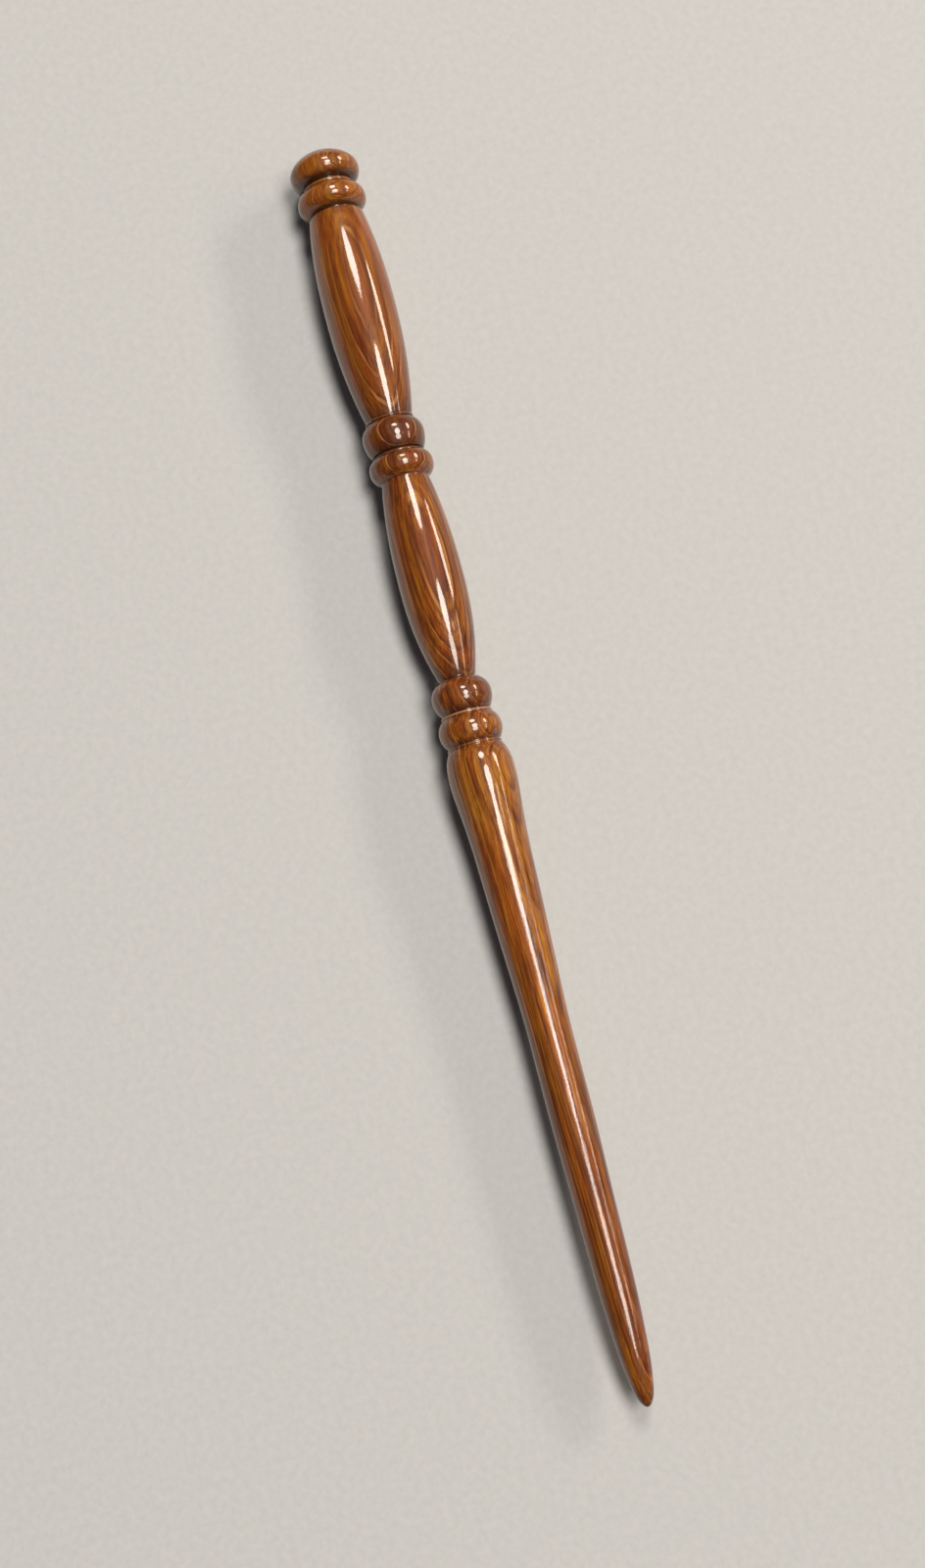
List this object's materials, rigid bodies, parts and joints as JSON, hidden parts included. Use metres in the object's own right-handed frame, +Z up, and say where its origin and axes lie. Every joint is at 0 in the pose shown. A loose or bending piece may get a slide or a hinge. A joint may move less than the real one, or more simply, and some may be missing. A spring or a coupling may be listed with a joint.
{
  "type": "spindle stick",
  "caption": "Slim turned hardwood spindle stick: domed knob, ring beads, barrel swellings and a long tapered shaft that ends in a blunt point.",
  "frame": {"origin": "on the surface that the stick lies on, below the middle of its length", "axes": "+X along the stick's own axis towards its point, +Z up from the surface it lies on"},
  "size_m": [0.2, 0.0114, 0.0114],
  "materials": {
    "varnished_hardwood": "gloss"
  },
  "bodies": {
    "root": {"turned_stick": "varnished_hardwood"}
  },
  "joints": []
}
